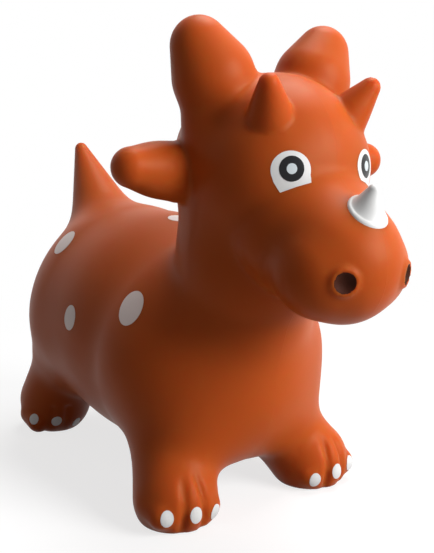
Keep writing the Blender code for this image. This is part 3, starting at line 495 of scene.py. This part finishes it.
def paint_finish(name, base, roughness, specular_level=0.5):
    finish, tree, shader = new_finish(name, base, roughness, ior=1.47)
    shader.inputs["Specular IOR Level"].default_value = specular_level
    place = add(tree, "ShaderNodeTexCoord").outputs["Object"]
    streak = add(tree, "ShaderNodeTexNoise",
                 {"Vector": place, "Scale": PAINT_STREAKS_IN_A_METRE, "Detail": 3.0})
    smoothest = roughness - ROUGHNESS_SPREAD / 2
    broken = add(tree, MATH, (streak, ROUGHNESS_SPREAD, smoothest), operation="MULTIPLY_ADD")
    wave = add(tree, "ShaderNodeBump", {"Height": streak, "Strength": 0.12, "Distance": 0.0002})
    tree.links.new(broken.outputs[0], shader.inputs["Roughness"])
    tree.links.new(wave.outputs[0], shader.inputs["Normal"])
    return finish


WHITE = paint_finish("white acrylic spray paint", "#DCDCDB", 0.40)
# The spots' white has a warm pink tint: painted bounce light from the orange skin round them.
SPOT_WHITE_AND_PAINTED_BOUNCE = paint_finish("white spray paint with painted warm bounce light", "#E8D6D0", 0.45)
BLACK = paint_finish("gloss black spray paint", "#0C0D10", 0.24, 0.28)
GLINT = paint_finish("pale blue-grey spray paint", "#C9D3D6", 0.35)
NOSTRIL_BROWN = paint_finish("dark brown airbrush paint", "#3C1B10", 0.70, 0.12)
print("five paints")

# %% [markdown]
# A painted area is a disc that is laid on the skin. A tree sets one flat template on each point of
# a small point mesh, turned to face the way the area faces and stretched to its size. Each of its
# points then shoots a ray back at the skin, and lands where the ray hits. It keeps the skin's
# normal there, which says which way the coat is thick.

# %% First half of the paint tree: laying the templates
def laid_templates(tree, given):
    facing, rise, size = [
        add(tree, "GeometryNodeInputNamedAttribute", {"Name": name}, data_type="FLOAT_VECTOR")
        for name in ("facing", "rise", "size")]
    template, target = [
        add(tree, "GeometryNodeObjectInfo", {"Object": given[name]}).outputs["Geometry"]
        for name in ("Template", "Skin")]
    turn = add(tree, "FunctionNodeAxesToRotation",
               {"Primary Axis": facing, "Secondary Axis": rise},
               primary_axis="Z", secondary_axis="Y")
    laid = add(tree, "GeometryNodeInstanceOnPoints",
               {"Points": given["Geometry"], "Instance": template, "Rotation": turn, "Scale": size})
    laid = add(tree, "GeometryNodeRealizeInstances", {"Geometry": laid})
    place = add(tree, "GeometryNodeInputPosition")
    outward = add(tree, VECTOR_MATH, {0: facing, "Scale": given["Reach"]}, operation="SCALE")
    source = add(tree, VECTOR_MATH, (place, outward), operation="ADD")
    back = add(tree, VECTOR_MATH, {0: facing, "Scale": -1.0}, operation="SCALE")
    length = add(tree, MATH, (given["Reach"], 2.0), operation="MULTIPLY")
    hit = add(tree, "GeometryNodeRaycast",
              {"Target Geometry": target, "Source Position": source,
               "Ray Direction": back, "Ray Length": length}).outputs
    laid = add(tree, "GeometryNodeStoreNamedAttribute",
               {"Geometry": laid, "Name": "lift", "Value": hit["Hit Normal"]},
               data_type="FLOAT_VECTOR", domain="POINT")
    return add(tree, "GeometryNodeSetPosition", {"Geometry": laid, "Position": hit["Hit Position"]})


print("templates can be laid")

# %% [markdown]
# The laid sheet first sinks a little into the skin, so that no gap shows at its edge. That depth
# is its root. An extrusion then lifts it to the coat's thickness and gives the coat its edge, and
# a flipped copy closes it underneath. Sharp folds are shaded as edges, and the rest stays smooth.

# %% Second half of the paint tree: making a coat
WELD_DISTANCE = 0.000002
SHARP_FOLD = 0.7


def paint_tree():
    tree, given = open_tree("paint on the skin", {
        "Geometry": "Geometry", "Skin": "Object", "Template": "Object", "Coat": "Float",
        "Root": "Float", "Reach": "Float", "Paint": "Material",
    }, ("Geometry", "Geometry"))
    laid = laid_templates(tree, given)
    lift = add(tree, "GeometryNodeInputNamedAttribute", {"Name": "lift"}, data_type="FLOAT_VECTOR")
    sunk = add(tree, MATH, (given["Root"], -1.0), operation="MULTIPLY")
    down = add(tree, VECTOR_MATH, {0: lift, "Scale": sunk}, operation="SCALE")
    base = add(tree, "GeometryNodeSetPosition", {"Geometry": laid, "Offset": down})
    rise = add(tree, MATH, (given["Root"], given["Coat"]), operation="ADD")
    top = add(tree, "GeometryNodeExtrudeMesh",
              {"Mesh": base, "Offset": lift, "Offset Scale": rise, "Individual": False},
              mode="FACES")
    under = add(tree, "GeometryNodeFlipFaces", {"Mesh": base})
    both = add(tree, "GeometryNodeJoinGeometry")
    tree.links.new(top.outputs[0], both.inputs[0])
    tree.links.new(under.outputs[0], both.inputs[0])
    closed = add(tree, "GeometryNodeMergeByDistance",
                 {"Geometry": both, "Distance": WELD_DISTANCE})
    closed = add(tree, "GeometryNodeSetShadeSmooth", {"Geometry": closed})
    bend = add(tree, "GeometryNodeInputMeshEdgeAngle").outputs["Unsigned Angle"]
    sharp = add(tree, MATH, (bend, SHARP_FOLD), operation="GREATER_THAN")
    closed = add(tree, "GeometryNodeSetShadeSmooth",
                 {"Geometry": closed, "Selection": sharp, "Shade Smooth": False}, domain="EDGE")
    closed = add(tree, "GeometryNodeSetMaterial", {"Geometry": closed, "Material": given["Paint"]})
    add(tree, "NodeGroupOutput", (closed,))
    return tree


PAINT_TREE = paint_tree()
print("paint tree:", len(PAINT_TREE.nodes), "nodes")

# %% [markdown]
# A template is a flat mesh of rings around a middle point, inside an outline of unit size. Rings
# let the template bend over a toe or a brow. Every round area shares one, and the eye's white has
# its own two, because its pointed corner lies on the side away from the nose.

# %% Templates of the painted areas
def ringed_template(name, outline, rings):
    shape = bmesh.new()
    middle = shape.verts.new((0.0, 0.0, 0.0))
    inner = None
    for ring in range(1, rings + 1):
        share = ring / rings
        current = [shape.verts.new((x * share, y * share, 0.0)) for x, y in outline]
        for i in range(len(outline)):
            j = (i + 1) % len(outline)
            if inner is None:
                shape.faces.new((middle, current[i], current[j]))
            else:
                shape.faces.new((inner[i], current[i], current[j], inner[j]))
        inner = current
    bmesh.ops.recalc_face_normals(shape, faces=shape.faces)
    if shape.faces[:][0].normal.z < 0.0:
        bmesh.ops.reverse_faces(shape, faces=shape.faces)
    mesh = bpy.data.meshes.new(name)
    shape.to_mesh(mesh)
    shape.free()
    return bpy.data.objects.new(name, mesh)


CIRCLE_SIDES = 56
turns = [math.tau * i / CIRCLE_SIDES for i in range(CIRCLE_SIDES)]
ROUND = ringed_template("round_template", [(math.cos(t), math.sin(t)) for t in turns], rings=8)
print("round template:", len(ROUND.data.polygons), "faces")

# %% [markdown]
# The point mesh carries three arrows for each area: the way it faces, the way its top points and
# its two half sizes. Both sides of the animal go into one mesh, so one run of the tree lays all
# the nails, and another all the spots.

# %% Laying paint
COAT_ROOT = 0.0006
RAY_REACH = 0.012
UP = (0.0, 0.0, 1.0)


def paint(name, template, rows, coat, finish, nodes, reach=RAY_REACH):
    """rows hold place, facing, rise and the half sizes; nodes are the solids replaced."""
    mesh = bpy.data.meshes.new(name)
    mesh.from_pydata([row[0] for row in rows], [], [])
    for index, label in ((1, "facing"), (2, "rise")):
        stored = mesh.attributes.new(label, "FLOAT_VECTOR", "POINT")
        for i, row in enumerate(rows):
            stored.data[i].vector = Vector(row[index]).normalized()
    stored = mesh.attributes.new("size", "FLOAT_VECTOR", "POINT")
    for i, row in enumerate(rows):
        stored.data[i].vector = (row[3], row[4], 1.0)
    piece = grown(name, PAINT_TREE, {"Skin": skin, "Template": template, "Coat": coat,
                                     "Root": COAT_ROOT, "Reach": reach, "Paint": finish}, mesh)
    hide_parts(*nodes)
    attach(piece, "animal")
    return piece


def both_sides(rows):
    flip = [((-p[0], p[1], p[2]), (-f[0], f[1], f[2]), (-u[0], u[1], u[2]), wide, high)
            for p, f, u, wide, high in rows]
    return list(rows) + flip


print("paint can be laid")

# %% [markdown]
# Each toe has an oval white nail on its front, from the same mask as its neighbours. A row gives
# the nail's place and the way it faces. The outer nails turn outwards, and the inner ones a little
# inwards and down.

# %% Nails
FRONT_NAILS = (
    ((0.1224, -0.1335, 0.0215), (0.40, -0.90, 0.12)),
    ((0.0939, -0.1425, 0.0215), (0.03, -0.99, 0.06)),
    ((0.0666, -0.1378, 0.0150), (-0.25, -0.95, -0.18)),
)
REAR_NAILS = (
    ((0.1205, 0.1975, 0.0265), (0.55, -0.78, 0.30)),
    ((0.0939, 0.1885, 0.0215), (0.03, -0.99, 0.06)),
    ((0.0666, 0.1932, 0.0150), (-0.25, -0.95, -0.18)),
)
NAIL_HALF_SIZES = ((FRONT_NAILS, 0.0066, 0.0086), (REAR_NAILS, 0.0061, 0.0068))
NAIL_COAT = 0.00035
nail_rows = both_sides([(place, facing, UP, wide, high)
                        for row, wide, high in NAIL_HALF_SIZES for place, facing in row])
nails = paint("painted_nails", ROUND, nail_rows, NAIL_COAT, WHITE,
              [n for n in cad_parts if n.startswith("nail_")])

# %% [markdown]
# The body carries oval spots on shoulder, flank and rump, mirrored on the other side, and one in
# the middle of the back. They lean with the body, so each row also says which way its top points.

# %% Spots on shoulder, flank, rump and back
SPOT_COAT = 0.00025
spot_rows = both_sides([
    ((0.1095, -0.0448, 0.2155), (0.81, -0.19, 0.55), (-0.50, 0.27, 0.82), 0.0155, 0.0195),
    ((0.1310, 0.0560, 0.1890), (0.98, -0.05, 0.19), (-0.19, 0.02, 0.98), 0.0115, 0.0142),
    ((0.0933, 0.1472, 0.2610), (0.73, 0.03, 0.68), (-0.68, 0.0, 0.73), 0.0150, 0.0175),
])
spot_rows.append(((0.0, 0.0342, 0.295), (0.0, -0.12, 0.99), (0.0, 0.99, 0.12), 0.0130, 0.0115))
# The spots' finish carries painted warm bounce light from the orange skin.
spots = paint("painted_spots", ROUND, spot_rows, SPOT_COAT, SPOT_WHITE_AND_PAINTED_BOUNCE,
              [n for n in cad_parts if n.startswith("spot_")])

# %% [markdown]
# Each eye is three coats: a white ground with a round top and a pointed lower corner, a black
# disc, and a pale round highlight in it. The outline of the ground is an arc closed by a row of
# corner points, all in half widths of the eye.

# %% Outline of the eye's white
EYE_ARC_STEPS = 40
EYE_ARC_START = -14.0
EYE_ARC_SWEEP = 210.0
EYE_ARC_MIDDLE = (-0.03, -0.05)
EYE_ARC_HALF_SIZES = (0.98, 0.90)
EYE_CORNER = ((-0.86, -0.62), (-0.70, -0.88), (-0.55, -1.12), (-0.18, -0.99), (0.18, -0.87),
              (0.56, -0.76), (0.94, -0.66), (0.94, -0.45))


def eye_outline(side):
    """The outline's points; side is 1 for the left eye and -1 for the right one."""
    points = []
    for step in range(EYE_ARC_STEPS + 1):
        turn = math.radians(EYE_ARC_START + EYE_ARC_SWEEP * step / EYE_ARC_STEPS)
        points.append((EYE_ARC_MIDDLE[0] + EYE_ARC_HALF_SIZES[0] * math.cos(turn),
                       EYE_ARC_MIDDLE[1] + EYE_ARC_HALF_SIZES[1] * math.sin(turn)))
    return [(-side * x, y) for x, y in (*points, *EYE_CORNER)]


print("eye outline:", len(eye_outline(1.0)), "points")

# %% [markdown]
# Each coat of the eye lies a little above the one before. The head falls away steeply beside the
# eye, so the rays start further out here.

# %% Eyes
EYE = (0.0455, -0.2221, 0.3628)
EYE_FACING = (0.46, -0.88, 0.10)
EYE_REACH = 0.020
WHITE_RADIUS = 0.0185
WHITE_COAT = 0.00025
IRIS_RADIUS = 0.0113
IRIS_COAT = 0.00045
HIGHLIGHT_RADIUS = 0.0047
HIGHLIGHT_COAT = 0.00060


def lay_eye(label, side):
    ground = ringed_template(f"eye_template_{label}", eye_outline(side), rings=9)
    place = (EYE[0] * side, EYE[1], EYE[2])
    look = (EYE_FACING[0] * side, EYE_FACING[1], EYE_FACING[2])
    white = paint(f"eye_white_paint_{label}", ground,
                  [(place, look, UP, WHITE_RADIUS, WHITE_RADIUS)],
                  WHITE_COAT, WHITE, [f"eye_white_{label}"], EYE_REACH)
    iris = paint(f"eye_iris_paint_{label}", ROUND,
                 [(place, look, UP, IRIS_RADIUS, IRIS_RADIUS)],
                 IRIS_COAT, BLACK, [f"eye_iris_{label}"], EYE_REACH)
    glint = paint(f"eye_highlight_paint_{label}", ROUND,
                  [(place, look, UP, HIGHLIGHT_RADIUS, HIGHLIGHT_RADIUS)],
                  HIGHLIGHT_COAT, GLINT, [f"eye_highlight_{label}"], EYE_REACH)


lay_eye("left", 1.0)
lay_eye("right", -1.0)

# %% [markdown]
# The nostrils are already modelled as hollows with a rim. The airbrush darkens them inside, up to
# the crest of the rim, so their paint is one more round template.

# %% Nostrils
NOSTRIL_PAINT_RADIUS = 0.0097
NOSTRIL_COAT = 0.00020
nostril_rows = both_sides([(tuple(NOSTRIL), tuple(NOSTRIL_FACING), UP,
                            NOSTRIL_PAINT_RADIUS, NOSTRIL_PAINT_RADIUS)])
nostrils = paint("nostril_paint", ROUND, nostril_rows, NOSTRIL_COAT, NOSTRIL_BROWN,
                 ["nostril_paint_left", "nostril_paint_right"])

# %% [markdown]
# The white of the nose horn wraps all round it, so it can't be laid on as a disc. It is the same
# field again, a coat thicker, kept only inside a form a little wider than the horn. Near the edge
# the coat grows to a small lip on the flared foot, which catches the light. The grid is finer
# here, 1 mm, because the edge of the paint shows.

# %% Coat on the nose horn
COAT_REGION = (0.0264, 0.0076, 0.0018)  # radius at the foot, radius at the tip, swell
HORN_COAT = 0.0003
LIP_COAT = 0.0008
LIP_START = -0.0018
LIP_CREST = -0.0008
COAT_EDGE_BLEND = 0.0006
COAT_BOX_LOW = (-0.032, -0.304, 0.276)
COAT_BOX_HIGH = (0.032, -0.228, 0.362)


def horn_coat_field(tree):
    place = add(tree, "GeometryNodeInputPosition")
    region = place_form(tree, place, NOSE_HORN_FOOT, NOSE_HORN_TIP, *COAT_REGION)
    thickness = add(tree, "ShaderNodeMapRange",
                    (region, LIP_START, LIP_CREST, HORN_COAT, LIP_COAT),
                    interpolation_type="SMOOTHSTEP")
    outside = add(tree, MATH, (animal_field(tree), thickness), operation="SUBTRACT")
    return add(tree, MATH, (outside, region, COAT_EDGE_BLEND), operation="SMOOTH_MAX")


coat_tree = surface_tree("nose horn coat", horn_coat_field, COAT_BOX_LOW, COAT_BOX_HIGH)
coat = grown("nose_horn_paint", coat_tree, {"Grid Step": 0.001, "Finish": WHITE})
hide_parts("nose_horn")
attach(coat, "animal")

# %% [markdown]
# The valve in the belly is a soft plastic seat with a recessed stopper. The solids already have
# the right profile, so only the finish is added here: a milky soft plastic, moulded with a grain
# of about 1 mm that takes the sharpness from its highlights.

# %% Valve finish
def valve_finish():
    finish, tree, shader = new_finish("milky soft plastic", "#CFCAC0", roughness=0.42, ior=1.50)
    place = add(tree, "ShaderNodeTexCoord").outputs["Object"]
    grain = add(tree, "ShaderNodeTexNoise", {"Vector": place, "Scale": 900.0, "Detail": 2.0})
    bump = add(tree, "ShaderNodeBump", {"Height": grain, "Strength": 0.1, "Distance": 0.0001})
    tree.links.new(bump.outputs[0], shader.inputs["Normal"])
    return finish


MILKY = valve_finish()
for node in ("valve_seat", "stopper"):
    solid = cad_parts[node]
    solid.data.materials.clear()
    solid.data.materials.append(MILKY)
print("valve finished")

# %% [markdown]
# The animal stands on a pale floor in a white studio. The camera, reflections and glass see a
# bright floor and a white world. The rays that gather light for the animal see a plain grey floor
# and a dim world instead, so that its shaded side stays dark. Near the animal the floor keeps the
# shadow, and further off it fades into plain white.

# %% Floor
STUDIO_WHITE = linear("#FFFFFF")
FLOOR_REACH = 6.0
FLOOR_DROP = 0.0002
FADE_START = 0.35
FADE_END = 1.10
FLOOR_GLOW = 0.74


def looked_at(tree):
    """1 for a ray from the camera, a reflection or glass, 0 for a ray that gathers light."""
    rays = add(tree, "ShaderNodeLightPath").outputs
    mirrored = add(tree, MATH, (rays["Is Glossy Ray"], rays["Is Transmission Ray"]),
                   operation="MAXIMUM")
    return add(tree, MATH, (rays["Is Camera Ray"], mirrored), operation="MAXIMUM")


def floor_finish():
    finish, tree, shader = new_finish("pale studio floor", "#969696", roughness=0.9, ior=1.45)
    shader.inputs["Specular IOR Level"].default_value = 0.0
    place = add(tree, "ShaderNodeTexCoord").outputs["Object"]
    away = add(tree, VECTOR_MATH, (place,), operation="LENGTH")
    far = add(tree, "ShaderNodeMapRange", (away, FADE_START, FADE_END, 0.0, 1.0),
              interpolation_type="SMOOTHSTEP")
    near_glow, far_glow = [
        add(tree, "ShaderNodeEmission", {"Color": STUDIO_WHITE, "Strength": strength})
        for strength in (FLOOR_GLOW, 1.0)]
    lit = add(tree, "ShaderNodeAddShader", (shader, near_glow))
    seen = add(tree, "ShaderNodeMixShader", (far, lit, far_glow))
    both = add(tree, "ShaderNodeMixShader", (looked_at(tree), shader, seen))
    tree.links.new(both.outputs[0], tree.nodes["Material Output"].inputs[0])
    return finish


floor_mesh = bpy.data.meshes.new("floor")
corners = [(x * FLOOR_REACH, y * FLOOR_REACH, 0) for x, y in ((-1, -1), (1, -1), (1, 1), (-1, 1))]
floor_mesh.from_pydata(corners, [], [(0, 1, 2, 3)])
floor_mesh.materials.append(floor_finish())
floor = bpy.data.objects.new("floor", floor_mesh)
bpy.context.scene.collection.objects.link(floor)
floor.location.z = -FLOOR_DROP
print("floor laid")

# %% [markdown]
# Two large soft discs light the animal. The key lamp stands in front of it, on the right of the
# picture and half a metre above its head, as the bright forehead and the dark flank show. The
# other hangs high above its left side, and lights the back and the tops of the feet.

# %% Lamps and world
LAMP_SIZE = 1.2
LAMP_TARGET = (0.0, -0.05, 0.25)
WORLD_LIGHT = 0.13


def lamp(name, place, power):
    data = bpy.data.lights.new(name, "AREA")
    data.shape = "DISK"
    data.size = LAMP_SIZE
    data.energy = power
    holder = bpy.data.objects.new(name, data)
    bpy.context.scene.collection.objects.link(holder)
    holder.location = place
    aim = Vector(LAMP_TARGET) - Vector(place)
    holder.rotation_euler = aim.to_track_quat("-Z", "Y").to_euler()


lamp("key", (0.84, -1.7, 1), power=47.0)
lamp("overhead", (0.66, 0.13, 2.13), power=32.0)

world = bpy.data.worlds.new("studio")
bpy.context.scene.world = world
world.use_nodes = True
sky = world.node_tree
dim, white = [
    add(sky, "ShaderNodeBackground", {"Color": STUDIO_WHITE, "Strength": strength})
    for strength in (WORLD_LIGHT, 1.0)]
mixed = add(sky, "ShaderNodeMixShader", (looked_at(sky), dim, white))
sky.links.new(mixed.outputs[0], sky.nodes["World Output"].inputs[0])
print("two lamps and the world")

# %% [markdown]
# The camera stands a little above the animal's eye, 35 degrees round towards its right side. The
# place, turn and focal length come from matching the animal's outline in a 434 by 553 picture.

# %% Camera
DEGREES_DOWN = 10.09
DEGREES_ROUND = 35.02
camera_data = bpy.data.cameras.new("camera")
camera_data.lens = 54.5
camera_data.sensor_width = 36.0
camera = bpy.data.objects.new("camera", camera_data)
bpy.context.scene.collection.objects.link(camera)
camera.location = (-0.520, -0.7854, 0.398)
camera.rotation_euler = (math.radians(90.0 - DEGREES_DOWN), 0.0, math.radians(-DEGREES_ROUND))
bpy.context.scene.camera = camera
bpy.context.scene.view_settings.view_transform = "Standard"
print("camera at", tuple(round(v, 3) for v in camera.location))
